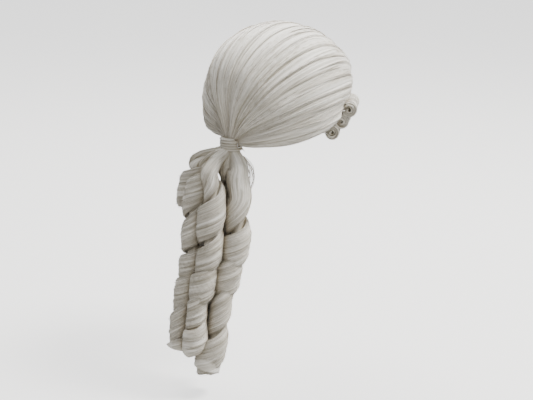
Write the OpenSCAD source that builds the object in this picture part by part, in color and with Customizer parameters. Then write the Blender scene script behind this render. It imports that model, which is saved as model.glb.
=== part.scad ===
// Costume wig: a sewn cap that carries crown hair, three rolled curls at each
// temple and a tied tail of ringlets at the nape. Millimetres, +Z up, front of
// the wig towards -Y, wearer's right towards -X. Origin: middle of the head opening.

/* [Head] */
// Width of the head that the cap is made for
head_w = 155; // [145:1:160]
// Length of that head, brow to back
head_l = 195; // [185:1:200]
// Height of that head above its widest level
head_h = 93; // [88:1:95]
// Backward lean of the crown, in degrees
crown_lean = 8; // [4:1:10]

/* [Cap] */
// Thickness of the crown net
net_t = 0.8; // [0.5:0.1:1]
// Height of the bands along the rim, in degrees of the dome
band_h = 12; // [8:1:14]
// Height of one sewn weft
weft_h = 4; // [3:0.5:6]

/* [Crown hair] */
// Width over the combed hair
hair_w = 196; // [190:1:202]
// Length over the combed hair, brow to back
hair_l = 236; // [230:1:242]
// Height over the combed hair above the widest level
hair_h = 107; // [104:1:111]

/* [Side rolls] */
// Outer diameter of one roll
roll_d = 20; // [16:0.5:20]
// Diameter of the hollow down a roll
roll_bore = 14; // [10:0.5:14.5]
// Length of one roll
roll_len = 72; // [50:1:76]
// Inward turn of a roll from straight forwards, in degrees
roll_turn = 32; // [28:1:36]

/* [Tail] */
// Outer diameter of the bound tie
tie_d = 30.8; // [29:0.2:31]
// Height of the bound tie
tie_h = 20; // [18:1:20]
// Backward lean of the tail where it lies on the wearer's back, in degrees
tail_lean = 14; // [8:1:16]
// Diameter of a ringlet's solid
ringlet_d = 29; // [24:1:30]

/* [Hidden] */
$fn = 48;

hair_colour = "ivory";
net_colour = "gainsboro";
tape_colour = "linen";
head_axes = [head_w / 2, head_l / 2, head_h];
hair_axes = [hair_w / 2, hair_l / 2, hair_h];

// Lowest edge of the cap: [angle round from the front, elevation on the dome]
rim = [[0, 21], [30, 18], [55, 2], [72, -17], [84, -17], [100, -9], [125, -17], [155, -18], [180, -16.5]];
// Front edge of the crown hair: [angle of the combed line, angle along it]
hairline = [[0, 159], [30, 156], [50, 149], [62, 139], [68, 132], [71, 112], [80, 106], [92, 88]];
crown_side = 80;
lip_top = 81;
lip_low = 92;
tie_gap = 12.5;
tie_level = -0.344;

pivot = [0, 99, -51];
roll_starts = [[100.5, -46, -13], [91.5, -40, -30.6], [81, -31, -46.4]];
wall_centre_y = 34;
strap_r = 57.5;
strap_z = -19;

function lerp(a, b, t) = a + (b - a) * t;
function clamp01(t) = min(1, max(0, t));
function smooth(t) = let (c = clamp01(t)) c * c * (3 - 2 * c);
function stretch(axes, d) = [for (i = [0:2]) axes[i] * d[i]];
function swell(axes, d) = [for (a = axes) a + d];
function rim_at(round) = lookup(abs(round), rim);

// Point on a dome: round is the angle from the front, up is the elevation
function dome_point(axes, round, up) =
  stretch(axes, [cos(up) * sin(round), -cos(up) * cos(round), sin(up)]);

// Combed lines lie in planes through the tie: comb is a plane's angle from
// straight up, and run is the angle along its circle from the back.
function comb_shift(comb) = -tie_level * sin(comb);
function comb_radius(comb) = sqrt(1 - pow(comb_shift(comb), 2));
function comb_dir(comb, run) =
  let (k = comb_shift(comb), r = comb_radius(comb))
  [
    k * cos(comb) + r * sin(comb) * sin(run),
    r * cos(run),
    r * cos(comb) * sin(run) - k * sin(comb)
  ];
function comb_start(comb) = asin(tie_level * cos(comb) / comb_radius(comb));

// Tilts what is modelled upright on the head back to the crown's own lean
module on_head() {
  rotate([-crown_lean, 0, 0]) children();
}

// Closed sheet between an outer and an inner grid of points
module sheet(outer, inner, ring = false) {
  rows = len(outer);
  cols = len(outer[0]);
  last = ring ? cols - 1 : cols - 2;
  base = rows * cols;
  function at(r, c) = r * cols + c % cols;
  skin = [for (r = [0:rows - 2]) for (c = [0:last])
    let (p = at(r, c), q = at(r, c + 1), s = at(r + 1, c + 1), t = at(r + 1, c))
    each [[p, q, s], [p, s, t], [base + p, base + s, base + q], [base + p, base + t, base + s]]];
  top = [for (c = [0:last]) let (p = at(0, c), q = at(0, c + 1))
    each [[q, p, base + p], [q, base + p, base + q]]];
  bottom = [for (c = [0:last]) let (p = at(rows - 1, c), q = at(rows - 1, c + 1))
    each [[p, q, base + q], [p, base + q, base + p]]];
  ends = ring ? [] : [for (r = [0:rows - 2])
    let (p = at(r, 0), t = at(r + 1, 0), q = at(r, cols - 1), s = at(r + 1, cols - 1))
    each [[p, t, base + t], [p, base + t, base + p], [s, q, base + q], [s, base + q, base + s]]];
  polyhedron(points = concat([for (r = outer) each r], [for (r = inner) each r]),
    faces = concat(skin, top, bottom, ends), convexity = 8);
}

// Strip of the dome between two angles round, from up_low to up_high above the
// rim (or at fixed elevations), between two distances outside the head
module dome_strip(from, to, up_low, up_high, near, far, cols, rows = 2, on_rim = true) {
  function up(round, t) = (on_rim ? rim_at(round) : 0) + lerp(up_high, up_low, t);
  function grid(lay) = [for (r = [0:rows - 1]) [for (c = [0:cols - 1])
    let (round = lerp(from, to, c / (cols - 1)))
    dome_point(swell(head_axes, lay), round, up(round, r / (rows - 1)))]];
  sheet(grid(far), grid(near));
}

// Strip all the way round the dome at fixed elevations or down to the rim
module dome_ring(high, low, near, far, cols, rows, to_rim = false) {
  function up(round, t) = lerp(high, to_rim ? rim_at(round > 180 ? 360 - round : round) + low : low, t);
  function grid(lay) = [for (r = [0:rows - 1]) [for (c = [0:cols - 1])
    let (round = 360 * c / cols)
    dome_point(swell(head_axes, lay), round, up(round, r / (rows - 1)))]];
  sheet(grid(far), grid(near), ring = true);
}

module crown_net() {
  color(net_colour) on_head() dome_ring(80.5, band_h + 1.8, 0.3, 0.3 + net_t, 56, 12, to_rim = true);
}

module crown_patch() {
  color(tape_colour) on_head() translate([0, 0, head_h - 0.2]) cylinder(d = 24, h = 1.2);
}

module front_band() {
  color(tape_colour) on_head() dome_strip(-62, 62, 0, band_h, 0.2, 1.6, 26, 4);
}

module nape_band() {
  color(tape_colour) on_head() dome_strip(112, 248, 0, band_h, 0.2, 1.6, 28, 4);
}

module ear_tab(side) {
  color(tape_colour) on_head() dome_strip(side * 74 - 11, side * 74 + 11, 0, band_h, 0.2, 1.6, 8, 4);
}

module ear_tab_stay(side) {
  color("silver") on_head() dome_strip(side * 74 - 1.2, side * 74 + 1.2, 1, band_h - 1, -0.8, -0.2, 2, 4);
}

module ear_binding(side) {
  color(tape_colour) on_head() dome_strip(side * 98.5 - 12.8, side * 98.5 + 12.8, 0, band_h, 0.2, 1.6, 8, 4);
}

module centre_rib() {
  rib = [for (i = [0:23]) lerp(36, 170, i / 23)];
  function edge(x, lay) = [for (a = rib) let (p = swell(head_axes, lay))
    [x, -p[1] * cos(a), p[2] * sin(a)]];
  function grid(lay) = let (a = edge(-4, lay), b = edge(4, lay)) [for (i = [0:23]) [b[23 - i], a[23 - i]]];
  color(tape_colour) on_head() sheet(grid(-0.4), grid(-1.1));
}

module cross_rib(side) {
  function grid(lay) = [for (i = [0:15]) let (p = swell(head_axes, lay), up = lerp(86, 6, i / 15))
    [for (y = side * [4, -4]) [side * p[0] * cos(up), -y, p[2] * sin(up)]]];
  color(tape_colour) on_head() sheet(grid(-0.4), grid(-1.1));
}

module top_wefts() {
  color(hair_colour) on_head() for (up = [46, 58, 70])
    dome_ring(up + weft_h / 2, up - weft_h / 2, 1.4, 2.6, 32, 2);
}

module back_wefts() {
  color(hair_colour) on_head() for (up = [10, 22, 34])
    dome_strip(100, 260, up - weft_h / 2, up + weft_h / 2, 1.4, 2.6, 22, on_rim = false);
}

// Bent bar round the nape, from one angle to another off the centre back
module nape_arc(from, to, inner, thick, high) {
  translate([0, wall_centre_y, strap_z - high / 2]) rotate([0, 0, 90 - to])
    rotate_extrude(angle = to - from) translate([inner, 0]) square([thick, high]);
}

module adjuster_strap(side) {
  color("white") on_head() mirror([side < 0 ? 1 : 0, 0, 0]) nape_arc(22, 52, strap_r, 0.8, 8);
}

module adjuster_hook(side) {
  color("lightgray") on_head() mirror([side < 0 ? 1 : 0, 0, 0]) {
    nape_arc(18, 22, strap_r, 0.8, 8);
    nape_arc(11, 18, strap_r, 0.8, 2);
    nape_arc(17, 18, strap_r, 0.8, 6);
  }
}

module adjuster_eyes(side) {
  color(tape_colour) on_head() mirror([side < 0 ? 1 : 0, 0, 0]) difference() {
    nape_arc(2, 20, strap_r + 1.1, 0.5, 8);
    for (a = [4:4:16]) nape_arc(a, a + 2, strap_r + 1, 0.8, 3);
  }
}

module adjuster_keepers(side) {
  color(tape_colour) on_head() mirror([side < 0 ? 1 : 0, 0, 0]) for (a = [30, 42]) difference() {
    nape_arc(a, a + 3, strap_r - 1, 2.6, 11);
    nape_arc(a - 1, a + 4, strap_r - 0.3, 1.4, 8.8);
  }
}

// Crown hair and the strands under it, as sheets between the cap and the outline
module combed_sheet(from, to, cols, rows, lift = 0, low_edge = 1) {
  function run(comb, t) = let (c = abs(comb), s = comb_start(c) + tie_gap) lerp(s, lookup(c, hairline), t);
  function fullness(comb, t) =
    let (across = clamp01((abs(comb) - lip_top) / (lip_low - lip_top)))
    lerp(1, 0.25, smooth((t - 0.86) / 0.14)) * lerp(1, low_edge, across) + lift * sin(180 * across);
  function grid(full) = [for (r = [0:rows - 1]) [for (c = [0:cols - 1])
    let (t = r / (rows - 1), comb = lerp(from, to, c / (cols - 1)))
    stretch(full ? lerp(swell(head_axes, 3.6), hair_axes, fullness(comb, t)) : swell(head_axes, 3.7),
      comb_dir(comb, run(comb, t)))]];
  sheet(grid(true), grid(false));
}

module crown_hair() {
  color(hair_colour) on_head() combed_sheet(-crown_side, crown_side, 33, 24);
}

module nape_hair(side) {
  color(hair_colour) on_head() combed_sheet(side > 0 ? lip_top : -lip_low, side > 0 ? lip_low : -lip_top,
    6, 18, lift = 0.2, low_edge = 0.55);
}

// Hair combed down from the temple, from which the rolls are wound
module temple_hair(side) {
  color(hair_colour) on_head() dome_strip(side * 54 - 12, side * 54 + 12, 1, 13, 1.8, 2.45, 9, 5);
}

module gathered_hair() {
  color(hair_colour) translate([pivot[0], pivot[1] + 2.5, pivot[2] + tie_h / 2]) cylinder(r = 8.4, h = 5.4);
}

module hair_tie() {
  color("dimgray") translate(pivot) for (z = [-2.6, 2.6])
    translate([0, 0, z]) rotate_extrude() translate([9.75, 0]) circle(d = 1.2, $fn = 16);
}

module hair_wrap() {
  strand = tie_h / 4;
  color(hair_colour) translate(pivot) for (i = [0:3])
    translate([0, 0, (i - 1.5) * strand]) rotate_extrude()
      translate([(tie_d - strand + 0.1) / 2, 0]) circle(d = strand - 0.1, $fn = 24);
}

module wrap_pin() {
  color("silver") translate([pivot[0] - 16.6, pivot[1], pivot[2]]) {
    for (z = [-3, 3]) translate([0, -5, z]) rotate([-90, 0, 0]) cylinder(d = 1.2, h = 7.5, $fn = 16);
    translate([0, 2.5, 0]) rotate([0, 90, 0]) rotate_extrude(angle = 180) translate([3, 0]) circle(d = 1.2, $fn = 16);
  }
}

module tail_root() {
  color(hair_colour) translate(pivot) sphere(r = 8.6);
}

// Bell of hair that spreads from under the tie, hollow round the tie's sweep
module tail_neck() {
  color(hair_colour) translate(pivot) rotate([tail_lean, 0, 0]) difference() {
    union() {
      sphere(r = 23);
      translate([0, 0, -31]) cylinder(r1 = 15, r2 = 19, h = 16);
    }
    sphere(r = 19.4);
    translate([-40, -40, -13]) cube([80, 80, 60]);
  }
}

// Ringlets: [across, back] of the hanging column from the tail's own line, and lowest level
inner_ringlet = [[-4, -15.5], -358];
right_ringlet = [[-33, -2], -390];
back_right_ringlet = [[-13, 29], -352];
back_left_ringlet = [[19, 25], -368];
left_ringlet = [[30, -6], -366];
ringlet_top = -87;
root_reach = 0.45;
spread_drop = 42;
curl_pitch = 46;
curl_throw = 2.2;

// Middle of a ringlet at a level; the tail's line leans away from the pivot
function tail_line(z) = pivot[1] + (pivot[2] - z) * tan(tail_lean);
function ringlet_mid(column, z) =
  let (spread = lerp(root_reach, 1, smooth((ringlet_top - z) / spread_drop)),
    turn = 360 * (ringlet_top - z) / curl_pitch, throw = curl_throw * smooth((ringlet_top - z) / 60))
  [
    column[0] * spread + throw * cos(turn),
    tail_line(z) + column[1] * spread + throw * sin(turn),
    z
  ];
function ringlet_r(z, low) =
  ringlet_d / 2 * lerp(0.4, 1, smooth((ringlet_top - z) / spread_drop)) * sqrt(clamp01((z - low + 2) / 14))
  * sqrt(clamp01((ringlet_top - z + 2) / 6));

module ringlet(spec) {
  rings = 34;
  sides = 10;
  low = spec[1];
  levels = [for (i = [0:rings - 1]) lerp(ringlet_top, low, i / (rings - 1))];
  points = [for (z = levels) let (m = ringlet_mid(spec[0], z), r = ringlet_r(z, low))
    each [for (j = [0:sides - 1]) m + r * [cos(360 * j / sides), sin(360 * j / sides), 0]]];
  function at(i, j) = i * sides + j % sides;
  walls = [for (i = [0:rings - 2]) for (j = [0:sides - 1])
    each [[at(i, j), at(i, j + 1), at(i + 1, j + 1)], [at(i, j), at(i + 1, j + 1), at(i + 1, j)]]];
  lids = [[for (j = [0:sides - 1]) at(0, sides - 1 - j)], [for (j = [0:sides - 1]) at(rings - 1, j)]];
  color(hair_colour) polyhedron(points = points, faces = concat(walls, lids), convexity = 6);
}

// Local frame of a roll: +Z along it from its rear end, +X towards the head
module roll_place(index, side) {
  mirror([side > 0 ? 1 : 0, 0, 0]) translate([-roll_starts[index][0], roll_starts[index][1], roll_starts[index][2]])
    rotate([0, 0, roll_turn]) rotate([90, 0, 0]) children();
}

module side_roll(index, side) {
  color(hair_colour) roll_place(index, side) difference() {
    cylinder(d = roll_d, h = roll_len);
    translate([0, 0, -1]) cylinder(d = roll_bore, h = roll_len + 2);
  }
}

module roll_pins(side) {
  leg_in = roll_bore / 2 - 1;
  leg_out = roll_d / 2 + 1;
  color("silver") for (index = [0:2]) roll_place(index, side) {
    for (x = [leg_in, leg_out]) translate([x, 0, -1]) cylinder(d = 1.2, h = 26, $fn = 16);
    translate([(leg_in + leg_out) / 2, 0, -1]) rotate([-90, 0, 0])
      rotate_extrude(angle = 180) translate([(leg_out - leg_in) / 2, 0]) circle(d = 1.2, $fn = 16);
  }
}

crown_net();
crown_patch();
front_band();
nape_band();
ear_tab(1);  // ear_tab_left
ear_tab(-1);  // ear_tab_right
ear_tab_stay(1);  // ear_tab_stay_left
ear_tab_stay(-1);  // ear_tab_stay_right
ear_binding(1);  // ear_binding_left
ear_binding(-1);  // ear_binding_right
centre_rib();
cross_rib(1);  // cross_rib_left
cross_rib(-1);  // cross_rib_right
top_wefts();
back_wefts();
adjuster_strap(1);  // adjuster_strap_left
adjuster_strap(-1);  // adjuster_strap_right
adjuster_hook(1);  // adjuster_hook_left
adjuster_hook(-1);  // adjuster_hook_right
adjuster_eyes(1);  // adjuster_eyes_left
adjuster_eyes(-1);  // adjuster_eyes_right
adjuster_keepers(1);  // adjuster_keepers_left
adjuster_keepers(-1);  // adjuster_keepers_right
crown_hair();
nape_hair(1);  // nape_hair_left
nape_hair(-1);  // nape_hair_right
temple_hair(1);  // temple_hair_left
temple_hair(-1);  // temple_hair_right
gathered_hair();
hair_tie();
hair_wrap();
wrap_pin();
tail_root();
tail_neck();
ringlet(inner_ringlet);
ringlet(right_ringlet);
ringlet(back_right_ringlet);
ringlet(back_left_ringlet);
ringlet(left_ringlet);
side_roll(0, 1);  // side_roll_top_left
side_roll(0, -1);  // side_roll_top_right
side_roll(1, 1);  // side_roll_middle_left
side_roll(1, -1);  // side_roll_middle_right
side_roll(2, 1);  // side_roll_low_left
side_roll(2, -1);  // side_roll_low_right
roll_pins(1);  // roll_pins_left
roll_pins(-1);  // roll_pins_right
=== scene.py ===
# Costume wig: a sewn cap, hair combed back over it, rolled curls at the temples
# and a bound tail of ringlets. Metres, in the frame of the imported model.
import math

import bmesh
import bpy
import numpy as np
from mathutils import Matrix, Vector


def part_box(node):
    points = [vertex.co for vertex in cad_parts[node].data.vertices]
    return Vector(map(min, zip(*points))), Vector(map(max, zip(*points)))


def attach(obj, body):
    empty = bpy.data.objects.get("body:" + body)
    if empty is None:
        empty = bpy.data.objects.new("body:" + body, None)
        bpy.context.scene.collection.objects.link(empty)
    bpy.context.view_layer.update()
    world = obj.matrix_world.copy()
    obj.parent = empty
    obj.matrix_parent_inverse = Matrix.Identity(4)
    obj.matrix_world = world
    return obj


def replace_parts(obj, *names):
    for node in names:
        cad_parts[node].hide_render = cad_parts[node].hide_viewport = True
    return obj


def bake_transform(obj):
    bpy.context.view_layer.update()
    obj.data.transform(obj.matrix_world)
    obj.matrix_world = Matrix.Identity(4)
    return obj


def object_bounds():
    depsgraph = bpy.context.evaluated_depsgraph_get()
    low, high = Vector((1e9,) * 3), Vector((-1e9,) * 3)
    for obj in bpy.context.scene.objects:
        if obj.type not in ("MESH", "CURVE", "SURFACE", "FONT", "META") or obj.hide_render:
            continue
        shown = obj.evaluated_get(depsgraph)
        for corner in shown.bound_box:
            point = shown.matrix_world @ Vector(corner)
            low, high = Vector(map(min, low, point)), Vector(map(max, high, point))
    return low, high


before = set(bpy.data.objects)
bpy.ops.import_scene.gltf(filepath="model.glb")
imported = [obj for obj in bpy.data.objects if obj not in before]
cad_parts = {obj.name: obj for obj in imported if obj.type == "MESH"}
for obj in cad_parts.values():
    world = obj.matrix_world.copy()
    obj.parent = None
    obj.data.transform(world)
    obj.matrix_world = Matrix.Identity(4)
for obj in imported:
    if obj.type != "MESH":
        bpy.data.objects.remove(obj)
cad_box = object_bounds()

# ---------------------------------------------------------------- camera, floor and light
# The wig is seen from behind and from the wearer's right, a little from above.
VIEW_TURN = math.radians(220)
VIEW_RISE = math.radians(16)
VIEW_DISTANCE = 1.6
LENS = 76.0
tie_low, tie_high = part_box("hair_wrap")
tie = (tie_low + tie_high) / 2

toward_camera = Vector((math.sin(VIEW_TURN) * math.cos(VIEW_RISE),
                        -math.cos(VIEW_TURN) * math.cos(VIEW_RISE), math.sin(VIEW_RISE)))
view_right = Vector((math.cos(VIEW_TURN), math.sin(VIEW_TURN), 0))
view_up = toward_camera.cross(view_right)
aim = tie + view_right * 0.0505 - view_up * 0.0805

camera = bpy.data.objects.new("camera", bpy.data.cameras.new("camera"))
bpy.context.scene.collection.objects.link(camera)
camera.location = aim + toward_camera * VIEW_DISTANCE
camera.rotation_euler = toward_camera.to_track_quat("Z", "Y").to_euler()
camera.data.lens = LENS
bpy.context.scene.camera = camera


def soft_light(name, offset, size, power):
    light = bpy.data.objects.new(name, bpy.data.lights.new(name, "AREA"))
    bpy.context.scene.collection.objects.link(light)
    light.data.size = size
    light.data.energy = power
    light.location = Vector(offset)
    light.rotation_euler = (Vector(offset) - tie).to_track_quat("Z", "Y").to_euler()


soft_light("window_light", tie + view_right * 1.5 + view_up * 2.0 + toward_camera * 0.5, 0.9, 190)
soft_light("fill_light", tie + view_right * 0.4 + view_up * 0.9 + toward_camera * 2.4, 1.2, 20)
soft_light("top_light", tie - toward_camera * 0.5 + view_up * 2.4 - view_right * 0.3, 1.4, 85)

FLOOR_DROP = 0.012
floor = bpy.data.objects.new("floor", bpy.data.meshes.new("floor"))
floor_level = cad_box[0][2] - FLOOR_DROP
corners = [(x, y, floor_level) for x, y in ((-9, -9), (9, -9), (9, 9), (-9, 9))]
floor.data.from_pydata(corners, [], [(0, 1, 2, 3)])
bpy.context.scene.collection.objects.link(floor)
# The floor and the air look brighter to the camera than they are as light on the hair.
paper = bpy.data.materials.new("pale_floor")
paper.use_nodes = True
paper_nodes, paper_links = paper.node_tree.nodes, paper.node_tree.links
paper_shader = paper_nodes["Principled BSDF"]
paper_shader.inputs["Base Color"].default_value = (0.40, 0.39, 0.37, 1)
paper_shader.inputs["Roughness"].default_value = 0.9
ray = paper_nodes.new("ShaderNodeLightPath")
glow = paper_nodes.new("ShaderNodeMath")
glow.operation = "MULTIPLY"
glow.inputs[1].default_value = 1.6
paper_links.new(ray.outputs["Is Camera Ray"], glow.inputs[0])
paper_links.new(glow.outputs[0], paper_shader.inputs["Emission Strength"])
paper_shader.inputs["Emission Color"].default_value = (1, 1, 1, 1)
floor.data.materials.append(paper)

world = bpy.data.worlds.new("studio")
bpy.context.scene.world = world
world.use_nodes = True
world.node_tree.nodes["Background"].inputs["Color"].default_value = (0.97, 0.98, 1.0, 1)
ray = world.node_tree.nodes.new("ShaderNodeLightPath")
strength = world.node_tree.nodes.new("ShaderNodeMapRange")
strength.inputs["To Min"].default_value = 0.50
strength.inputs["To Max"].default_value = 1.9
world.node_tree.links.new(ray.outputs["Is Camera Ray"], strength.inputs["Value"])
world.node_tree.links.new(strength.outputs["Result"], world.node_tree.nodes["Background"].inputs["Strength"])

# ---------------------------------------------------------------- crown hair
# Ivory-white synthetic fibre, combed from the hairline back over the cap and down
# to the tie. A thick combed body carries the locks, and single strands lie over it.
HEAD_AXES = np.array([0.0775, 0.0975, 0.093])
HAIR_AXES = np.array([0.098, 0.118, 0.107])
CROWN_LEAN = math.radians(8)
TIE_LEVEL = -0.344
HAIRLINE = np.array([[0, 159], [30, 156], [50, 150], [62, 143], [68, 138], [73, 130], [80, 115], [94, 92]])
TIE_RING = 0.0118
HAIR_UNDERSIDE = 0.0034
CROWN_LOCKS = [(0.09, 0.0034), (0.24, 0.0022), (0.6, 0.0019), (1.5, 0.0016), (3.6, 0.0011)]
IVORY_SHADE = (0.36, 0.33, 0.26, 1)
IVORY = (0.59, 0.565, 0.50, 1)
IVORY_LIGHT = (0.83, 0.81, 0.765, 1)


def smooth(t):
    t = np.clip(t, 0, 1)
    return t * t * (3 - 2 * t)


def on_head(points):
    """Leans upright points back to the crown's own lean."""
    c, s = math.cos(CROWN_LEAN), math.sin(CROWN_LEAN)
    x, y, z = points[..., 0], points[..., 1], points[..., 2]
    return np.stack([x, c * y + s * z, -s * y + c * z], -1)


def ripples(across, along, seed, bands, drift=1.0):
    """Rounded locks with sharp grooves between them: bands are (ridges per unit across, height)."""
    rng = np.random.default_rng(seed)
    height = np.zeros(np.broadcast(across, along).shape)
    for ridges, size in bands:
        for _ in range(3):
            rate = ridges * rng.uniform(0.7, 1.35)
            sway = rng.uniform(0.4, 1.4) * drift
            bend = sway * np.sin(rng.uniform(1.5, 5) * along + rng.uniform(0, 6.3))
            ridge = np.abs(np.sin(rate * across / 2 + rng.uniform(0, 6.3) + bend))
            height = height + size / 2.2 * (ridge - 0.6)
    return height


def comb_lines(comb, along, axes):
    """Points on the dome that lies at these half-axes. comb is the angle of a combed line from
    straight up, in degrees, and along runs from 0 at the tie to 1 at the hairline."""
    side, size = np.sign(comb), np.radians(np.abs(comb))
    shift = -TIE_LEVEL * np.sin(size)
    radius = np.sqrt(1 - shift ** 2)
    start = np.arcsin(TIE_LEVEL * np.cos(size) / radius)
    end = np.radians(np.interp(np.abs(comb), HAIRLINE[:, 0], HAIRLINE[:, 1]))
    run = start + (end - start) * along
    unit = np.stack([side * (shift * np.cos(size) + radius * np.sin(size) * np.sin(run)),
                     radius * np.cos(run),
                     radius * np.cos(size) * np.sin(run) - shift * np.sin(size)], -1)
    return on_head(unit * axes)


def into_tie(points, comb, along, reach, ring):
    """Gathers the ends of combed lines into a ring on top of the tie."""
    turn = np.radians(np.clip(comb * 1.25, -170, 170))
    top = np.stack([ring * np.sin(turn) + tie[0], ring * np.cos(turn) + tie[1],
                    np.full(turn.shape, tie_high[2] - 0.004)], -1)
    share = smooth(along / reach)[..., None]
    return top * (1 - share) + points * share


def crown_surface(comb, along, lift=0.0):
    full = 1 - 0.45 * smooth((along - 0.95) / 0.05)
    full = full - 0.62 * smooth(1 - along / 0.36) * np.exp(-((comb - 15) / 75) ** 2)
    full = full - 0.85 * smooth(1 - along / 0.58) * smooth((comb - 10) / 40)
    full = full + 0.26 * np.sin(math.pi * np.clip(along, 0, 1)) ** 2
    full = full + 0.42 * smooth((along - 0.45) / 0.3) * np.exp(-((np.abs(comb) - 50) / 26) ** 2)
    full = full - 0.30 * np.exp(-((comb + 4) / 10) ** 2 - ((along - 0.12) / 0.2) ** 2)
    full = full - 0.22 * np.exp(-((along - 0.62) / 0.17) ** 2) * smooth(comb / 35)
    full = full + 0.20 * smooth((along - 0.35) / 0.3) * np.exp(-((comb + 28) / 24) ** 2)
    full = full - 0.30 * np.exp(-((comb + 64) / 6) ** 2 - ((along - 0.16) / 0.2) ** 2)
    full = np.maximum(full, 0.24)
    locks = ripples(comb, along, 11, CROWN_LOCKS)
    locks = locks * (1 - 0.4 * smooth((along - 0.35) / 0.3))
    locks = locks * smooth(along / 0.2 + 0.2) * (1 - 0.6 * smooth((along - 0.93) / 0.07))
    axes = HEAD_AXES + (HAIR_AXES - HEAD_AXES) * full[..., None]
    axes = axes + (locks + lift)[..., None]
    return into_tie(comb_lines(comb, along, axes), comb, along, 0.17, TIE_RING + lift)


def grid_piece(name, points, closed=False, flow=(1.0, 1.0)):
    """Mesh over a grid of points; closed joins the last column to the first. Its UV map runs
    across the strands in U and along them in V."""
    rows, cols = points.shape[:2]
    spans = cols if closed else cols - 1
    r, c = np.meshgrid(np.arange(rows - 1), np.arange(spans), indexing="ij")
    n = (c + 1) % cols
    quads = np.stack([r * cols + c, r * cols + n, (r + 1) * cols + n, (r + 1) * cols + c], -1).reshape(-1, 4)
    mesh = bpy.data.meshes.new(name)
    mesh.from_pydata(points.reshape(-1, 3).tolist(), [], quads.tolist())
    uv = mesh.uv_layers.new(name="flow")
    u = np.stack([c, c + 1, c + 1, c], -1) / spans * flow[0]
    v = np.stack([r, r, r + 1, r + 1], -1) / (rows - 1) * flow[1]
    uv.data.foreach_set("uv", np.stack([u, v], -1).reshape(-1).astype(np.float32))
    mesh.shade_smooth()
    piece = bpy.data.objects.new(name, mesh)
    bpy.context.scene.collection.objects.link(piece)
    return piece


def mend(piece, cap=False):
    """Merges doubled points, closes open rims if asked, and turns the faces outwards."""
    work = bmesh.new()
    work.from_mesh(piece.data)
    bmesh.ops.remove_doubles(work, verts=work.verts, dist=1e-6)
    if cap:
        bmesh.ops.holes_fill(work, edges=[e for e in work.edges if e.is_boundary])
    bmesh.ops.recalc_face_normals(work, faces=work.faces)
    work.to_mesh(piece.data)
    work.free()
    piece.data.shade_smooth()
    return piece


def shell(name, outer, inner, flow=(1.0, 1.0)):
    """Closed sheet: the outer grid, the inner grid behind it, and the rim that joins them."""
    loop = np.concatenate([outer, inner[:, ::-1]], 1)
    piece = grid_piece(name, loop, closed=True, flow=flow)
    return mend(piece, cap=True)


def paint_hollow_shade(nodes, links, colour, shader, reach):
    """Paints shade into the colour: an ambient-occlusion node darkens and warms it where strands lie deep
    between others.
    """
    hollow = nodes.new("ShaderNodeAmbientOcclusion")
    hollow.samples = 6
    hollow.inputs["Distance"].default_value = reach
    depth = nodes.new("ShaderNodeMapRange")
    depth.inputs["From Min"].default_value = 0.95
    depth.inputs["From Max"].default_value = 0.15
    shade = nodes.new("ShaderNodeMix")
    shade.data_type = "RGBA"
    shade.blend_type = "MULTIPLY"
    # Warm dark tint of the painted shade in the hollows.
    shade.inputs[7].default_value = (0.50, 0.43, 0.31, 1)
    links.new(hollow.outputs["AO"], depth.inputs["Value"])
    links.new(depth.outputs["Result"], shade.inputs[0])
    links.new(colour, shade.inputs[6])
    links.new(shade.outputs[2], shader.inputs["Base Color"])


def hair_finish(name, dark, mid, light, fine=(240, 5), broad=(26, 1.3), bump=0.55, reach=0.022):
    """Synthetic fibre: streaks along the strands in tone and in relief, with a soft sheen."""
    finish = bpy.data.materials.new(name)
    finish.use_nodes = True
    nodes, links = finish.node_tree.nodes, finish.node_tree.links
    shader = nodes["Principled BSDF"]
    shader.inputs["Roughness"].default_value = 0.5
    shader.inputs["Specular IOR Level"].default_value = 0.35
    shader.inputs["Sheen Weight"].default_value = 0.25
    shader.inputs["Sheen Roughness"].default_value = 0.4
    shader.inputs["Subsurface Weight"].default_value = 0.12
    shader.inputs["Subsurface Radius"].default_value = (0.004, 0.0035, 0.003)
    lay = nodes.new("ShaderNodeUVMap")
    lay.uv_map = "flow"
    streaks = []
    for scale, detail in ((fine, 4), (broad, 3)):
        stretch = nodes.new("ShaderNodeMapping")
        stretch.inputs["Scale"].default_value = (scale[0], scale[1], 1)
        noise = nodes.new("ShaderNodeTexNoise")
        noise.inputs["Scale"].default_value = 1
        noise.inputs["Detail"].default_value = detail
        noise.inputs["Roughness"].default_value = 0.6
        links.new(lay.outputs["UV"], stretch.inputs["Vector"])
        links.new(stretch.outputs["Vector"], noise.inputs["Vector"])
        streaks.append(noise.outputs["Fac"])
    both = nodes.new("ShaderNodeMix")
    both.inputs["Factor"].default_value = 0.5
    links.new(streaks[0], both.inputs["A"])
    links.new(streaks[1], both.inputs["B"])
    tones = nodes.new("ShaderNodeValToRGB")
    tones.color_ramp.elements[0].position = 0.32
    tones.color_ramp.elements[0].color = dark
    tones.color_ramp.elements[1].position = 0.66
    tones.color_ramp.elements[1].color = light
    tones.color_ramp.elements.new(0.49).color = mid
    links.new(both.outputs["Result"], tones.inputs["Fac"])
    # Painted shade: the colour is darkened and warmed in the hollows between strands.
    paint_hollow_shade(nodes, links, tones.outputs["Color"], shader, reach)
    relief = nodes.new("ShaderNodeBump")
    relief.inputs["Strength"].default_value = bump
    relief.inputs["Distance"].default_value = 0.0006
    links.new(streaks[0], relief.inputs["Height"])
    links.new(relief.outputs["Normal"], shader.inputs["Normal"])
    return finish


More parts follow.
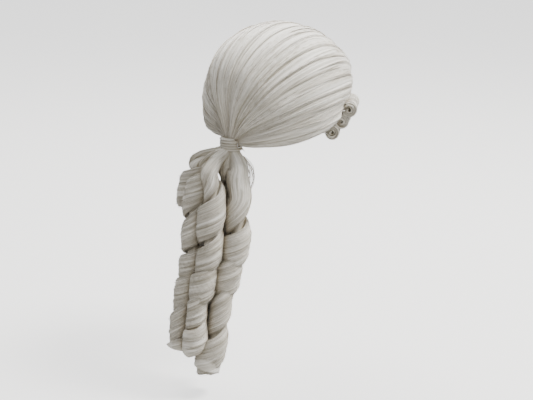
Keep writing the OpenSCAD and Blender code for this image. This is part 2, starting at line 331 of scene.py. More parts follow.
def strand_finish(name, dark, light, reach=0.022):
    """Single fibres: each has its own tone and some of the tone of the tuft that it lies in."""
    finish = bpy.data.materials.new(name)
    finish.use_nodes = True
    nodes, links = finish.node_tree.nodes, finish.node_tree.links
    shader = nodes["Principled BSDF"]
    shader.inputs["Roughness"].default_value = 0.42
    shader.inputs["Specular IOR Level"].default_value = 0.4
    shader.inputs["Sheen Weight"].default_value = 0.2
    tone = nodes.new("ShaderNodeAttribute")
    tone.attribute_name = "tone"
    tuft = nodes.new("ShaderNodeAttribute")
    tuft.attribute_name = "tuft"
    both = nodes.new("ShaderNodeMix")
    both.inputs["Factor"].default_value = 0.45
    links.new(tone.outputs["Fac"], both.inputs["A"])
    links.new(tuft.outputs["Fac"], both.inputs["B"])
    tones = nodes.new("ShaderNodeValToRGB")
    tones.color_ramp.elements[0].position = 0.1
    tones.color_ramp.elements[0].color = dark
    tones.color_ramp.elements[1].position = 0.8
    tones.color_ramp.elements[1].color = light
    links.new(both.outputs["Result"], tones.inputs["Fac"])
    # Painted shade: the colour is darkened and warmed in the hollows between strands.
    paint_hollow_shade(nodes, links, tones.outputs["Color"], shader, reach)
    return finish


def strand_tree():
    """Geometry Nodes: copies each guide line sideways over the surface and makes tubes of the copies."""
    tree = bpy.data.node_groups.new("lay_strands", "GeometryNodeTree")
    tree.interface.new_socket("Geometry", in_out="OUTPUT", socket_type="NodeSocketGeometry")
    for label, kind in (("Geometry", "Geometry"), ("Copies", "Int"), ("Spread", "Float"), ("Lift", "Float"),
                        ("Radius", "Float"), ("Shorten", "Float"), ("Seed", "Int"), ("Finish", "Material")):
        tree.interface.new_socket(label, in_out="INPUT", socket_type="NodeSocket" + kind)
    given, result = tree.nodes.new("NodeGroupInput"), tree.nodes.new("NodeGroupOutput")

    def node(kind, *wires, **settings):
        made = tree.nodes.new(kind)
        for key, value in settings.items():
            setattr(made, key, value)
        for socket, source in wires:
            if isinstance(source, bpy.types.NodeSocket):
                tree.links.new(source, made.inputs[socket])
            else:
                made.inputs[socket].default_value = source
        return made

    def per_strand(low, high, seed_step):
        index = node("GeometryNodeInputIndex")
        seed = node("ShaderNodeMath", (0, given.outputs["Seed"]), (1, float(seed_step)))
        draw = node("FunctionNodeRandomValue", (2, low), (3, high), ("ID", index.outputs[0]),
                    ("Seed", seed.outputs[0]))
        return node("GeometryNodeFieldOnDomain", (0, draw.outputs[1]), domain="CURVE").outputs[0]

    def scaled(value, size):
        return node("ShaderNodeMath", (0, value), (1, given.outputs[size]), operation="MULTIPLY")

    def named(name):
        return node("GeometryNodeInputNamedAttribute", ("Name", name), data_type="FLOAT_VECTOR").outputs[0]

    curves = node("GeometryNodeMeshToCurve", (0, given.outputs["Geometry"]))
    copies = node("GeometryNodeDuplicateElements", (0, curves.outputs[0]), (2, given.outputs["Copies"]),
                  domain="SPLINE")
    aside = scaled(per_strand(-1.0, 1.0, 1), "Spread")
    above = scaled(per_strand(0.0, 1.0, 2), "Lift")
    across = node("ShaderNodeVectorMath", (0, named("side")), ("Scale", aside.outputs[0]), operation="SCALE")
    outward = node("ShaderNodeVectorMath", (0, named("out")), ("Scale", above.outputs[0]), operation="SCALE")
    both = node("ShaderNodeVectorMath", (0, across.outputs[0]), (1, outward.outputs[0]))
    placed = node("GeometryNodeSetPosition", (0, copies.outputs[0]), ("Offset", both.outputs[0]))
    toned = node("GeometryNodeStoreNamedAttribute", (0, placed.outputs[0]), ("Name", "tone"),
                 ("Value", per_strand(0.0, 1.0, 3)), domain="POINT")
    cut = scaled(per_strand(0.0, 1.0, 4), "Shorten")
    cut_end = scaled(per_strand(0.0, 1.0, 5), "Shorten")
    keep = node("ShaderNodeMath", (0, 1.0), (1, cut_end.outputs[0]), operation="SUBTRACT")
    trimmed = node("GeometryNodeTrimCurve", (0, toned.outputs[0]), (2, cut.outputs[0]), (3, keep.outputs[0]))
    profile = node("GeometryNodeCurvePrimitiveCircle", (0, 3), ("Radius", given.outputs["Radius"]))
    tubes = node("GeometryNodeCurveToMesh", (0, trimmed.outputs[0]), (1, profile.outputs[0]),
                 ("Fill Caps", True))
    real = node("GeometryNodeRealizeInstances", (0, tubes.outputs[0]))
    smoothed = node("GeometryNodeSetShadeSmooth", (0, real.outputs[0]))
    finished = node("GeometryNodeSetMaterial", (0, smoothed.outputs[0]),
                    ("Material", given.outputs["Finish"]))
    tree.links.new(finished.outputs[0], result.inputs[0])
    return tree


def apply_tree(piece, tree, **inputs):
    """Runs a Geometry Nodes tree on a piece and keeps the plain mesh that it makes."""
    modifier = piece.modifiers.new(tree.name, "NODES")
    modifier.node_group = tree
    sockets = {s.name: s.identifier for s in tree.interface.items_tree if s.in_out == "INPUT"}
    for label, value in inputs.items():
        modifier[sockets[label]] = value
    evaluated = piece.evaluated_get(bpy.context.evaluated_depsgraph_get())
    made = bpy.data.meshes.new_from_object(evaluated)
    piece.modifiers.clear()
    piece.data = made
    return piece


STRANDS = strand_tree()


def lay_strands(name, surface, across, along, step, finish, copies=1, lift=0.0, radius=0.00026, shorten=0.0,
                seed=1, flip=False):
    """Guide lines over a surface, one for each value of across, made into strands. surface takes
    across and along and gives points; step is the distance across that the copies may stray."""
    u, v = np.meshgrid(across, along, indexing="ij")
    line = surface(u, v)
    right, left = surface(u + step, v), surface(u - step, v)
    side = (right - left) / 2
    run = np.gradient(line, axis=1)
    out = np.cross(side, run)
    out /= np.linalg.norm(out, axis=-1, keepdims=True) + 1e-12
    if flip:
        out = -out
    count, points = u.shape
    start = np.arange(count)[:, None] * points
    edges = np.stack([start + np.arange(points - 1), start + np.arange(1, points)], -1).reshape(-1, 2)
    mesh = bpy.data.meshes.new(name)
    mesh.from_pydata(line.reshape(-1, 3).tolist(), edges.tolist(), [])
    for key, value in (("side", side), ("out", out)):
        mesh.attributes.new(key, "FLOAT_VECTOR", "POINT").data.foreach_set(
            "vector", value.reshape(-1).astype(np.float32))
    rng = np.random.default_rng(seed + 500)
    tuft = rng.uniform(0, 1, (count, 1))
    change = rng.uniform(3, 12, (count, 1)) * np.linspace(0, 1, points)
    tuft = tuft + 0.3 * np.sin(change + rng.uniform(0, 6, (count, 1)))
    mesh.attributes.new("tuft", "FLOAT", "POINT").data.foreach_set(
        "value", np.clip(tuft, 0, 1).reshape(-1).astype(np.float32))
    piece = bpy.data.objects.new(name, mesh)
    bpy.context.scene.collection.objects.link(piece)
    return apply_tree(piece, STRANDS, Copies=copies, Spread=1.0, Lift=lift, Radius=radius, Shorten=shorten,
                      Seed=seed, Finish=finish)


crown_finish = hair_finish("combed_fibre", IVORY_SHADE, IVORY, IVORY_LIGHT, fine=(330, 4), broad=(46, 1.2))
crown_strand = strand_finish("crown_strand", (0.42, 0.39, 0.32, 1), (0.84, 0.82, 0.775, 1))

comb, along = np.meshgrid(np.linspace(-84, 84, 420), np.linspace(0, 1, 80))
outer = crown_surface(comb, along)
inner = comb_lines(comb, along, HEAD_AXES + HAIR_UNDERSIDE)
inner = into_tie(inner, comb, along, 0.12, TIE_RING - 0.003)
crown = shell("crown_hair_body", outer, inner, flow=(2.0, 1.0))
crown.data.materials.append(crown_finish)
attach(crown, "root")
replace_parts(crown, "crown_hair", "gathered_hair")

for part, low, high in (("right", -82, -28), ("top", -28, 28), ("left", 28, 82)):
    guides = np.linspace(low, high, 44)
    strands = lay_strands("crown_strands_" + part, crown_surface, guides, np.linspace(0.012, 0.985, 23),
                          0.62, crown_strand, copies=26, lift=0.0009, shorten=0.25, seed=5)
    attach(strands, "root")


def crossing_surface(comb, along, lift=0.0):
    return crown_surface(comb + 4.5 * np.sin(2.6 * along + comb * 0.9) * along, along, lift + 0.0003)


crossing = lay_strands("crown_crossing_strands", crossing_surface, np.linspace(-74, 74, 70),
                       np.linspace(0.02, 0.98, 22), 0.5, crown_strand, copies=12, lift=0.0012, radius=0.00024,
                       shorten=0.45, seed=7)
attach(crossing, "root")
flyaway = lay_strands("crown_flyaway_strands", crown_surface, np.linspace(-76, 76, 60),
                      np.linspace(0.05, 0.97, 22), 3.0, crown_strand, copies=3, lift=0.0034, radius=0.00016,
                      shorten=0.45, seed=9)
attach(flyaway, "root")

# ---------------------------------------------------------------- nape hair
# The lowest hair on each side is combed straight back along the edge of the cap, so it
# lies as a thick lip over the cap's rim from the temple to the tie.


def nape_surface(comb, along, lift=0.0):
    side, size = np.sign(comb), np.abs(comb)
    across = (size - 73) / 21
    dip = 4.5 * np.sin(math.pi * np.clip(along, 0, 1) ** 0.8)
    bulge = np.sin(math.pi * np.clip(across, 0, 1)) ** 0.7
    full = 0.55 + 0.62 * bulge - 0.5 * smooth((along - 0.93) / 0.07) - 0.25 * smooth(1 - along / 0.3)
    full = np.maximum(full - 1.0 * smooth(1 - along / 0.75) * (side > 0), 0.24)
    locks = ripples(size * 1.1, along, 21, [(0.25, 0.0030), (0.7, 0.0018), (1.9, 0.0010), (4.2, 0.0005)], 1.5)
    axes = HEAD_AXES + (HAIR_AXES - HEAD_AXES) * full[..., None] + (locks * bulge + lift)[..., None]
    points = comb_lines(side * (size + dip * across), along, axes)
    return into_tie(points, comb, along, 0.14, TIE_RING + 0.0012 + lift)


for part, side in (("right", -1), ("left", 1)):
    comb, along = np.meshgrid(side * np.linspace(73, 94, 90), np.linspace(0, 1, 90))
    outer = nape_surface(comb, along)
    dip = 4.5 * np.sin(math.pi * along ** 0.8) * (np.abs(comb) - 73) / 21
    inner = comb_lines(comb + side * dip, along, HEAD_AXES + HAIR_UNDERSIDE)
    inner = into_tie(inner, comb, along, 0.12, TIE_RING - 0.003)
    lip = shell("nape_hair_body_" + part, outer, inner)
    lip.data.materials.append(crown_finish)
    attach(lip, "root")
    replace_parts(lip, "nape_hair_" + part)
    strands = lay_strands("nape_strands_" + part, nape_surface, side * np.linspace(74, 93.6, 24),
                          np.linspace(0.01, 0.985, 20), 0.5, crown_strand, copies=20, lift=0.0009,
                          shorten=0.2, seed=13, flip=side > 0)
    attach(strands, "root")

# ---------------------------------------------------------------- cap net
# The cap's crown is a stretch net of fine thread, knitted in diamonds and sewn to the
# tapes along its rim. The wefts of hair are sewn on to it.
RIM = np.array([[0, 21], [30, 18], [55, 2], [72, -17], [84, -17], [100, -9], [125, -17], [155, -18],
                [180, -16.5]])


def cloth_finish(name, dark, light, scale, rough=0.85, bump=0.5, metal=0.0):
    """Woven cloth or tape: crossed threads in relief and a slight unevenness of tone."""
    finish = bpy.data.materials.new(name)
    finish.use_nodes = True
    nodes, links = finish.node_tree.nodes, finish.node_tree.links
    shader = nodes["Principled BSDF"]
    shader.inputs["Roughness"].default_value = rough
    shader.inputs["Metallic"].default_value = metal
    place = nodes.new("ShaderNodeTexCoord")
    weave = nodes.new("ShaderNodeTexWave")
    weave.bands_direction = "DIAGONAL"
    weave.inputs["Scale"].default_value = scale
    weave.inputs["Distortion"].default_value = 1.5
    cloud = nodes.new("ShaderNodeTexNoise")
    cloud.inputs["Scale"].default_value = 140
    links.new(place.outputs["Object"], weave.inputs["Vector"])
    links.new(place.outputs["Object"], cloud.inputs["Vector"])
    tones = nodes.new("ShaderNodeValToRGB")
    tones.color_ramp.elements[0].position = 0.3
    tones.color_ramp.elements[0].color = dark
    tones.color_ramp.elements[1].position = 0.7
    tones.color_ramp.elements[1].color = light
    links.new(cloud.outputs["Fac"], tones.inputs["Fac"])
    links.new(tones.outputs["Color"], shader.inputs["Base Color"])
    relief = nodes.new("ShaderNodeBump")
    relief.inputs["Strength"].default_value = bump
    relief.inputs["Distance"].default_value = 0.0003
    links.new(weave.outputs["Fac"], relief.inputs["Height"])
    links.new(relief.outputs["Normal"], shader.inputs["Normal"])
    return finish


def dome(turn, rise, lay):
    """Point on the head at an angle round from the front and an elevation, lay outside it."""
    a, e = np.radians(turn), np.radians(rise)
    unit = np.stack([np.cos(e) * np.sin(a), -np.cos(e) * np.cos(a), np.sin(e)], -1)
    return on_head(unit * (HEAD_AXES + np.asarray(lay)[..., None]))


def rim_rise(turn):
    turn = np.abs((np.asarray(turn) + 180) % 360 - 180)
    return np.interp(turn, RIM[:, 0], RIM[:, 1])


def net_line(twist):
    def line(turn, along):
        swept = turn + twist * along
        foot = rim_rise(swept) + 12.4
        return dome(swept, 80 + (foot - 80) * along, np.full(along.shape, 0.0007 + 0.0001 * np.sign(twist)))
    return line


net_finish = cloth_finish("net_thread", (0.50, 0.47, 0.42, 1), (0.66, 0.63, 0.57, 1), 900)
for part, twist in (("one_way", 62), ("other_way", -62)):
    net = lay_strands("crown_net_threads_" + part, net_line(twist), np.arange(0, 360, 4.0),
                      np.linspace(0, 1, 30), 0.5, net_finish, radius=0.00032)
    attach(net, "root")
    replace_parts(net, "crown_net")

# ---------------------------------------------------------------- cap tapes
# Cotton tape binds the cap: a forehead band, a nape band, a stayed tab in front of each
# ear, a binding over each ear and ribs across the crown. Each is folded and stitched flat.
tape_finish = cloth_finish("cotton_tape", (0.60, 0.56, 0.49, 1), (0.74, 0.71, 0.64, 1), 700)
thread_finish = cloth_finish("sewing_thread", (0.72, 0.70, 0.66, 1), (0.82, 0.80, 0.76, 1), 1500)
TAPE_RISE = 12
RIB_WIDTH = 0.008
RIB_DEPTH = 0.0011


def sheet_size(points):
    """Width, length and area of a grid of points, measured along the cloth."""
    down, right = np.diff(points, axis=0), np.diff(points, axis=1)
    width = np.linalg.norm(down, axis=-1).sum(0).mean()
    length = np.linalg.norm(right, axis=-1).sum(1).mean()
    area = np.linalg.norm(np.cross(down[:, :-1], right[:-1]), axis=-1).sum()
    return float(width), float(length), float(min(area, width * length))


def tape(name, place, count, replaced, lay=0.0002, thick=0.0014, stitches=60):
    """Folded tape. place(t, w, lay) gives the point at t along and w across it."""
    w, t = np.meshgrid(np.linspace(0, 1, 14), np.linspace(0, 1, count), indexing="ij")
    fold = thick * (0.78 + 0.22 * np.exp(-((np.abs(w - 0.5) - 0.36) / 0.1) ** 2))
    edge = np.clip(np.minimum(w, 1 - w) / 0.04, 0.25, 1)
    outer, inner = place(t, w, lay + fold * edge), place(t, w, np.full(t.shape, lay))
    piece = shell(name, outer, inner)
    piece.data.materials.append(tape_finish)
    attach(piece, "root")
    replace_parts(piece, replaced)
    for row, across in (("upper", 0.14), ("lower", 0.86)):
        seam = lay_strands(name + "_stitches_" + row,
                           lambda n, v: place((n + 0.2 + 0.6 * v) / stitches, np.full(v.shape, across),
                                              lay + thick * (0.98 + 0.1 * np.sin(math.pi * v))),
                           np.arange(stitches), np.linspace(0, 1, 4), 0.1, thread_finish, radius=0.0002)
        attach(seam, "root")
    width, length, area = sheet_size(outer)
    return piece


def rim_tape(start, end):
    def place(t, w, lay):
        turn = start + (end - start) * t
        return dome(turn, rim_rise(turn) + TAPE_RISE * (1 - w), lay)
    return place


tape("forehead_band", rim_tape(-62, 62), 110, "front_band", stitches=90)
tape("nape_tape_band", rim_tape(112, 248), 120, "nape_band", stitches=100)
for part, side in (("right", -1), ("left", 1)):
    tape("ear_tab_tape_" + part, rim_tape(side * 74 - 11, side * 74 + 11), 30, "ear_tab_" + part, stitches=16)
    tape("ear_edge_tape_" + part, rim_tape(side * 98.5 - 12.8, side * 98.5 + 12.8), 34, "ear_binding_" + part,
         stitches=18)


def centre_rib(t, w, lay):
    angle = np.radians(36 + 134 * t)
    size = HEAD_AXES[:, None, None] - RIB_DEPTH + np.asarray(lay)
    return on_head(np.stack([RIB_WIDTH * (w - 0.5), -size[1] * np.cos(angle), size[2] * np.sin(angle)], -1))


def cross_rib(side):
    def place(t, w, lay):
        angle = np.radians(86 - 80 * t)
        size = HEAD_AXES[:, None, None] - RIB_DEPTH + np.asarray(lay)
        return on_head(np.stack([side * size[0] * np.cos(angle), RIB_WIDTH * (w - 0.5),
                                 size[2] * np.sin(angle)], -1))
    return place


tape("centre_rib_tape", centre_rib, 80, "centre_rib", lay=0.0, thick=0.0007, stitches=70)
for part, side in (("right", -1), ("left", 1)):
    tape("cross_rib_tape_" + part, cross_rib(side), 46, "cross_rib_" + part, lay=0.0, thick=0.0007,
         stitches=36)

# The patch is a disc of tape with a raised hem: each pair is a radius and a height above the head.
PATCH_OUTLINE = ((0.0001, -0.0002), (0.0116, -0.0002), (0.012, 0.0001), (0.012, 0.0008), (0.0113, 0.001),
                 (0.0104, 0.00075), (0.006, 0.00085), (0.0001, 0.0009))
turn = np.linspace(0, 2 * math.pi, 48, endpoint=False)
rings = [on_head(np.stack([r * np.cos(turn), r * np.sin(turn), HEAD_AXES[2] + h + 0 * turn], -1))
         for r, h in PATCH_OUTLINE]
patch = grid_piece("crown_patch_disc", np.stack(rings), closed=True)
mend(patch, cap=True)
patch.data.materials.append(tape_finish)
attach(patch, "root")
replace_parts(patch, "crown_patch")

# ---------------------------------------------------------------- wefts
# Under the combed hair, rows of fibre are machine-sewn on to the net: rings over the
# crown and part rings across the back. Each is a ridge of thread with hair folded over it.
weft_finish = strand_finish("weft_fibre", (0.46, 0.44, 0.39, 1), (0.74, 0.72, 0.68, 1))


def weft(name, start, end, rise):
    def bead(turn, round_):
        roll = np.radians(round_)
        return dome(turn, rise + 2.0 * np.sin(roll), 0.0020 + 0.0005 * np.cos(roll))
    count = int(abs(end - start) * 1.2)
    turns = np.linspace(start, end, count, endpoint=end - start < 360)
    made = lay_strands(name, bead, turns, np.linspace(-180, 170, 8), 0.3, weft_finish, copies=2, lift=0.0,
                       radius=0.00042, shorten=0.08, seed=3)
    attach(made, "root")
    return made


for row, rise in (("low", 46), ("middle", 58), ("high", 70)):
    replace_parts(weft("top_weft_" + row, 0, 360, rise), "top_wefts")
for row, rise in (("low", 10), ("middle", 22), ("high", 34)):
    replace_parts(weft("back_weft_" + row, 100, 260, rise), "back_wefts")

# ---------------------------------------------------------------- adjusters, stays and pins
# Two elastic straps with moulded hooks draw the nape in; eye tapes and keepers are cotton.
# Springy steel stays hold the ear tabs down, and steel pins hold the rolls and the tie.


def dress(finish, *names):
    """Puts a finish on CAD nodes that keep their own shape."""
    for name in names:
        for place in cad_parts[name].material_slots:
            place.material = finish


elastic_finish = cloth_finish("ribbed_elastic", (0.66, 0.65, 0.62, 1), (0.78, 0.77, 0.74, 1), 380, bump=0.9)
cord_finish = cloth_finish("tie_elastic", (0.42, 0.40, 0.36, 1), (0.58, 0.56, 0.51, 1), 500, rough=0.7)
plastic_finish = cloth_finish("moulded_plastic", (0.66, 0.65, 0.60, 1), (0.74, 0.73, 0.69, 1), 60, rough=0.35,
                              bump=0.05)
steel_finish = cloth_finish("drawn_steel", (0.48, 0.47, 0.46, 1), (0.66, 0.65, 0.64, 1), 900, rough=0.32,
                            bump=0.12, metal=1.0)
for part in ("left", "right"):
    dress(elastic_finish, "adjuster_strap_" + part)
    dress(plastic_finish, "adjuster_hook_" + part)
    dress(tape_finish, "adjuster_eyes_" + part, "adjuster_keepers_" + part)
    dress(steel_finish, "ear_tab_stay_" + part, "roll_pins_" + part)
dress(steel_finish, "wrap_pin")
dress(cord_finish, "hair_tie")

# ---------------------------------------------------------------- tie
# An elastic holds the gathered hair, and a lock of the same hair is wound round it four
# times to hide it. Its end is tucked under and pinned, and a few short ends stand out.
WRAP_TURNS = 4.3
WRAP_LOW, WRAP_HIGH = tie_low[2] + 0.0020, tie_high[2] - 0.0020
tail_finish = hair_finish("curled_fibre", IVORY_SHADE, IVORY, IVORY_LIGHT, fine=(90, 14), broad=(14, 4))
tail_strand = strand_finish("curled_strand", (0.40, 0.37, 0.29, 1), (0.86, 0.84, 0.79, 1))


def round_grid(rows, cols):
    """Places along a lock and round it, for a closed tube."""
    ring = np.linspace(0, 2 * math.pi, cols, endpoint=False)
    return np.meshgrid(np.linspace(0, 1, rows), ring, indexing="ij")


def wrap_surface(ring, along, lift=0.0):
    turn = along * WRAP_TURNS * 2 * math.pi + 0.8
    level = WRAP_LOW + (WRAP_HIGH - WRAP_LOW) * along + 0.0011 * np.sin(turn * 1.0 + 0.5)
    ends = np.clip(np.minimum(along, 1 - along) / 0.05, 0, 1)
    thick = 0.0014 + 0.0007 * ends + ripples(ring, along * 8, 31, [(3, 0.0005), (7, 0.0003)])
    across, out = thick * np.cos(ring), thick * np.sin(ring) * 1.3 + lift * np.sin(ring)
    major = 0.0122 + 0.0008 * ends + 0.0004 * np.sin(turn * 2.0 + 1)
    radius = major + out
    return np.stack([tie[0] + radius * np.cos(turn), tie[1] + radius * np.sin(turn), level + across], -1)


along, ring = round_grid(300, 26)
wrap = mend(grid_piece("wrap_lock", wrap_surface(ring, along), closed=True), cap=True)
wrap.data.materials.append(tail_finish)
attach(wrap, "root")
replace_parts(wrap, "hair_wrap")
strands = lay_strands("wrap_strands", wrap_surface, np.linspace(0, 2 * math.pi, 14, endpoint=False),
                      np.linspace(0, 1, 120), 0.22, tail_strand, copies=5, lift=0.0004, radius=0.00024,
                      shorten=0.2, seed=17, flip=True)
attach(strands, "root")


def loose_end(number, out):
    turn = 3.5 + 0.10 * number + 0.3 * np.sin(number * 2.3)
    reach = 0.0148 + out * (0.003 + 0.004 * (0.5 + 0.5 * np.sin(number * 5.1)))
    level = tie[2] - 0.004 + 0.0045 * np.sin(number * 1.7) - 0.004 * out ** 2
    turn = turn - 0.25 * out
    return np.stack([tie[0] + reach * np.cos(turn), tie[1] + reach * np.sin(turn), level], -1)


ends = lay_strands("wrap_loose_ends", loose_end, np.arange(9), np.linspace(0, 1, 8), 0.2, tail_strand,
                   copies=2, lift=0.0006, radius=0.0002, shorten=0.3, seed=19)
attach(ends, "root")

# ---------------------------------------------------------------- tail neck
# Under the tie the hair swells out and parts into five ringlets. The middle of the bundle
# is a plain body of hair.
TAIL_LEAN = math.tan(math.radians(14))
RINGLET_TOP = -0.087
BAND_TOP = -0.058
CORE_TOP = -0.064
CURL_HINGE = (-0.080, -0.104)
RINGLET_LOCKS = [(3, 0.0014), (7, 0.0013), (15, 0.0008), (33, 0.00045)]


def tail_line(level):
    return tie[1] + (tie[2] - level) * TAIL_LEAN


def neck_surface(ring, along, lift=0.0):
    level = tie[2] + 0.002 - 0.054 * along
    radius = np.interp(along, [0, 0.19, 0.38, 0.6, 0.8, 1], [0.0072, 0.0082, 0.0120, 0.0130, 0.0110, 0.004])
    locks = ripples(ring, along, 41, [(3, 0.0012), (8, 0.0008), (17, 0.0005)])
    radius = radius + locks * smooth(along / 0.3) + lift
    return np.stack([tie[0] + radius * np.cos(ring), tail_line(level) + radius * np.sin(ring), level], -1)


along, ring = round_grid(60, 120)
neck = mend(grid_piece("tail_neck_body", neck_surface(ring, along), closed=True), cap=True)
neck.data.materials.append(tail_finish)
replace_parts(neck, "tail_neck", "tail_root")
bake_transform(neck)


def escaped_loop(number, along):
    swing = np.sin(math.pi * along) ** 0.8
    reach = 0.012 + (0.028 + 0.005 * np.sin(number * 2.1)) * swing
    level = tie[2] - 0.010 - (0.070 + 0.014 * np.sin(number * 1.3)) * along
    return np.stack([tie[0] - 0.766 * reach, tie[1] + 0.010 - 0.643 * reach + 0.018 * along, level], -1)


loop = lay_strands("tail_escaped_strands", escaped_loop, np.arange(9), np.linspace(0, 1, 26), 0.3,
                   tail_strand, copies=3, lift=0.001, radius=0.00028, shorten=0.05, seed=37)
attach(loop, "tail")

# ---------------------------------------------------------------- ringlets
# Five ringlets hang from the tie. Each is a flat band of fibre that was curled round a
# rod, so it winds as a hollow tube, tighter towards its tip.


class Ringlet:
    """Band wound round a hanging line. column is (across, back) of that line from the tail's own and low
    its lowest level. phase is where it starts round the tube. bulge is an outward push under the tie, with
    the share of it that comes again below. drift is how far it strays at its tip, and smooth_to the level
    down to which it hangs straight."""

    def __init__(self, column, low, phase, pitch, wide, radius, bulge, drift, smooth_to, seed):
        self.column, self.low, self.phase, self.pitch, self.wide = column, low, phase, pitch, wide
        self.radius, self.bulge, self.drift, self.smooth_to, self.seed = radius, bulge, drift, smooth_to, seed

    def middle(self, level):
        spread = 0.10 + 0.35 * smooth((-0.054 - level) / 0.033) + 0.55 * smooth((RINGLET_TOP - level) / 0.042)
        push = np.exp(-((level + 0.082) / 0.024) ** 2)
        push = push + self.bulge[2] * np.exp(-((level + 0.129) / 0.020) ** 2)
        push = push * smooth((-0.050 - level) / 0.022)
        sway = 0.0028 * np.sin(level * 52 + self.seed) * smooth((-0.11 - level) / 0.05)
        drift = smooth((-0.19 - level) / 0.17)
        across = self.column[0] * spread + self.bulge[0] * push + self.drift[0] * drift + sway
        back = tail_line(level) + self.column[1] * spread + self.bulge[1] * push + self.drift[1] * drift
        return np.stack([across, back, level], -1)

    def centre(self, along):
        level = BAND_TOP + (self.low - BAND_TOP) * along
        settled = level + 0.020 * smooth((along - 0.84) / 0.16)
        rng = np.random.default_rng(self.seed)
        wobble = 1 + 0.20 * np.sin(rng.uniform(9, 14) * along + rng.uniform(0, 6)) \
            + 0.10 * np.sin(rng.uniform(22, 30) * along + rng.uniform(0, 6))
        radius = self.radius * smooth((-0.056 - level) / 0.040) * wobble
        depth = np.logaddexp(0, (self.smooth_to - level) / 0.012) * 0.012
        turn = self.phase - 2 * math.pi * (depth / self.pitch + 0.13 * np.sin(depth * 37 + rng.uniform(0, 6)))
        away = np.stack([radius * np.cos(turn), radius * np.sin(turn), 0 * turn], -1)
        return self.middle(settled) + away, radius, turn

    def surface(self, ring, along, lift=0.0):
        nudge = 0.0006
        along = along - 0.075 * (0.5 - 0.5 * np.cos(ring)) * smooth((along - 0.84) / 0.16)
        here, radius, turn = self.centre(along)
        run = self.centre(along + nudge)[0] - self.centre(along - nudge)[0]
        run /= np.linalg.norm(run, axis=-1, keepdims=True)
        out = np.stack([np.cos(turn), np.sin(turn), 0 * turn], -1)
        out = out - run * (out * run).sum(-1, keepdims=True)
        out /= np.linalg.norm(out, axis=-1, keepdims=True)
        side = np.cross(run, out)
        rng = np.random.default_rng(self.seed + 100)
        breath = 1 + 0.13 * np.sin(rng.uniform(12, 17) * along + rng.uniform(0, 6))
        half = 0.0075 + (self.wide - 0.0075) * smooth(along / 0.15)
        half = half * breath * (1 - 0.15 * smooth((along - 0.97) / 0.03))
        thick = (0.0060 - 0.0008 * smooth(along / 0.3)) * (1 - 0.35 * smooth((along - 0.96) / 0.04))
        cos, sin = np.cos(ring), np.sin(ring)
        across = half * cos
        locks = ripples(ring, along * 3, self.seed + 7, RINGLET_LOCKS, 1.6)
        rise = thick * sin + (locks * np.abs(sin) + lift) * np.sign(sin)
        level_side = side * [1, 1, 0]
        slope = np.linalg.norm(level_side, axis=-1)
        level_side = level_side / (slope[..., None] + 1e-9)
        bend = np.maximum(radius + 0.003, 0.0095)
        angle = across * slope / bend
        facing = out * np.cos(angle)[..., None] + level_side * np.sin(angle)[..., None]
        wound = level_side * (bend * np.sin(angle))[..., None] - out * (bend * (1 - np.cos(angle)))[..., None]
        return here + wound + facing * rise[..., None] + side * [0, 0, 1] * across[..., None]

    def core(self, ring, along, lift=0.0):
        here = self.middle(CORE_TOP + (self.low + 0.030 - CORE_TOP) * along)
        radius = 0.0080 * smooth(along / 0.1 + 0.3) * (1 - 0.4 * smooth((along - 0.95) / 0.05))
        radius = radius + ripples(ring, along * 6, self.seed + 9, [(3, 0.0008), (8, 0.0005)]) + lift
        return here + np.stack([radius * np.cos(ring), radius * np.sin(ring), 0 * ring], -1)


RINGLETS = {
    "inner": Ringlet((-0.004, -0.0155), -0.356, 0.6, 0.046, 0.0200, 0.0105, (0, 0, 0), (0, 0), -0.090, 51),
    "right": Ringlet((-0.033, -0.002), -0.393, 2.2, 0.049, 0.0220, 0.0120, (-0.006, 0, 0), (0.008, 0.006),
                     -0.138, 52),
    "back_right": Ringlet((-0.013, 0.029), -0.354, 2.6, 0.044, 0.0205, 0.0118, (0.009, 0.017, 0.1),
                          (0.003, 0), -0.104, 53),
    "back_left": Ringlet((0.019, 0.025), -0.366, 1.2, 0.047, 0.0200, 0.0120, (0.013, 0.010, 0.6), (0.002, 0),
                         -0.078, 54),
    "left": Ringlet((0.030, -0.006), -0.362, 0.6, 0.045, 0.0210, 0.0130, (0.029, 0.024, 0.8), (0.001, 0.001),
                    -0.070, 55),
}
for part, band in RINGLETS.items():
    along, ring = round_grid(280, 54)
    lock = mend(grid_piece(part + "_ringlet_band", band.surface(ring, along), closed=True), cap=True)
    lock.data.materials.append(tail_finish)
    along, ring = round_grid(120, 40)
    core = mend(grid_piece(part + "_ringlet_core", band.core(ring, along), closed=True), cap=True)
    core.data.materials.append(tail_finish)
    rings, few_rings = (np.linspace(0, 2 * math.pi, number, endpoint=False) for number in (28, 8))
    strands = lay_strands(part + "_ringlet_strands", band.surface, rings, np.linspace(0.004, 0.996, 134),
                          0.13, tail_strand, copies=5, lift=0.0008, radius=0.00024, shorten=0.16, seed=band.seed,
                          flip=True)
    loose = lay_strands(part + "_ringlet_loose_strands", band.surface, few_rings,
                        np.linspace(0.03, 0.99, 90), 0.3, tail_strand, copies=2, lift=0.0032, radius=0.00017,
                        shorten=0.5, seed=band.seed + 3, flip=True)
    for piece in (lock, core, strands, loose):
        if part == "inner":
            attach(piece, "tail")
        else:
            low_end, high_end = band.middle(np.array(CURL_HINGE[1])), band.middle(np.array(CURL_HINGE[0]))
            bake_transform(piece)
    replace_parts(lock, part + "_ringlet")

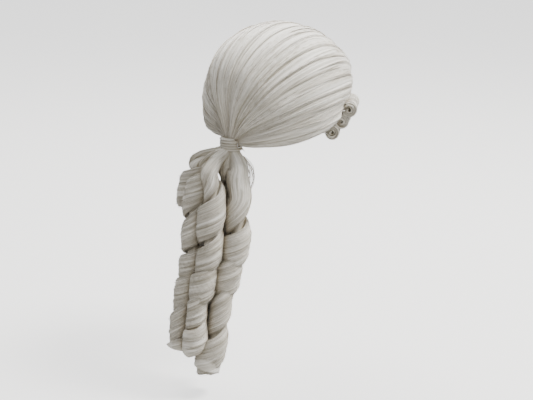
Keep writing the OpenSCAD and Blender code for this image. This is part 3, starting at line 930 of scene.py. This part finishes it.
# ---------------------------------------------------------------- side rolls
# Three rolled curls lie one above another at each temple. Each is a flat lock of hair,
# wound inwards into a tube from its tip, with the lock's root leading to the temple.
ROLL_STARTS = {"top": (0.1005, -0.046, -0.013), "middle": (0.0915, -0.040, -0.0306),
               "low": (0.081, -0.031, -0.0464)}
ROLL_TURNS = 3.1
ROLL_LOCKS = [(2, 0.0006), (6, 0.0005), (15, 0.0003), (40, 0.00016)]
ROLL_TURN = math.radians(32)
ROLL_LENGTH = 0.073
roll_finish = hair_finish("rolled_fibre", IVORY_SHADE, IVORY, IVORY_LIGHT, fine=(150, 5), broad=(20, 1.5),
                          reach=0.006)
roll_strand = strand_finish("rolled_strand", (0.42, 0.39, 0.32, 1), (0.84, 0.82, 0.775, 1), reach=0.006)


def roll_surface(side, start, seed):
    """Wound sheet: around runs from the inner end of the spiral to the root lock, down along the roll."""
    def place(down, around, face=1.0, lift=0.0):
        rng = np.random.default_rng(seed)
        flare = 1.06 + 0.05 * np.sin(3.1 * down + rng.uniform(0, 6)) + 0.05 * (2 * down - 1) ** 6
        wound = np.minimum(around / 0.84, 1)
        lead = np.maximum(around - 0.84, 0) / 0.16
        angle = math.radians(88) + 2 * math.pi * ROLL_TURNS * (1 - wound)
        radius = (0.0009 + 0.0085 * wound ** 0.9) * flare
        locks = ripples(down * 6, around * 4, seed, ROLL_LOCKS, 1.2)
        thick = 0.0010 * (1 - 0.35 * lead) * np.clip(around / 0.03, 0.4, 1)
        radius = radius + face * (thick + locks * 0.8 + lift)
        x = radius * np.cos(angle) + 0.017 * lead
        y = radius * np.sin(angle) + 0.0035 * lead ** 2 - 0.001 * lead
        edge = 0.0016 * np.sin(around * 17 + rng.uniform(0, 6))
        edge = edge + 0.0008 * np.sin(around * 41 + rng.uniform(0, 6))
        z = down * ROLL_LENGTH + edge * (2 * down - 1) + 0.001
        c, s = math.cos(ROLL_TURN), math.sin(ROLL_TURN)
        return np.stack([side * (start[0] - x * c - z * s), start[1] + x * s - z * c, start[2] + y], -1)
    return place


for part, side in (("right", -1), ("left", 1)):
    for number, (row, start) in enumerate(ROLL_STARTS.items()):
        place = roll_surface(side, start, 61 + number * 3 + (side > 0))
        around, down = np.meshgrid(np.linspace(0, 1, 120), np.linspace(0, 1, 40), indexing="ij")
        roll = shell("side_roll_sheet_%s_%s" % (row, part), place(down, around), place(down, around, -1.0))
        roll.data.materials.append(roll_finish)
        strands = lay_strands("side_roll_strands_%s_%s" % (row, part), place, np.linspace(0.01, 0.99, 40),
                              np.linspace(0.01, 0.99, 56), 0.014, roll_strand, copies=5, lift=0.0005,
                              radius=0.00022, shorten=0.2, seed=23, flip=side > 0)
        for piece in (roll, strands):
            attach(piece, "root")
        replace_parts(roll, "side_roll_%s_%s" % (row, part))

# ---------------------------------------------------------------- temple hair
# A thin layer of hair comes down from under the crown at each temple, between the cap's
# tape and the combed hair. The rolled curls are wound from it.


def temple_surface(side):
    def place(turn, along, lift=0.0):
        swept = side * (54 + turn + 5 * along)
        rise = rim_rise(swept) + 13 - 12 * along
        locks = ripples(turn, along, 71, [(0.6, 0.0002), (1.8, 0.0001)])
        return dome(swept, rise, 0.0024 + locks + lift)
    return place


for part, side in (("right", -1), ("left", 1)):
    place = temple_surface(side)
    along, turn = np.meshgrid(np.linspace(0, 1, 30), np.linspace(-12, 10, 60), indexing="ij")
    sheet = shell("temple_hair_sheet_" + part, place(turn, along), place(turn, along, -0.0006))
    sheet.data.materials.append(roll_finish)
    strands = lay_strands("temple_strands_" + part, place, np.linspace(-11.5, 9.5, 40),
                          np.linspace(0, 1, 12), 0.3, roll_strand, copies=4, lift=0.0004, radius=0.0002,
                          shorten=0.2, seed=29, flip=side < 0)
    for piece in (sheet, strands):
        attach(piece, "root")
    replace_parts(sheet, "temple_hair_" + part)
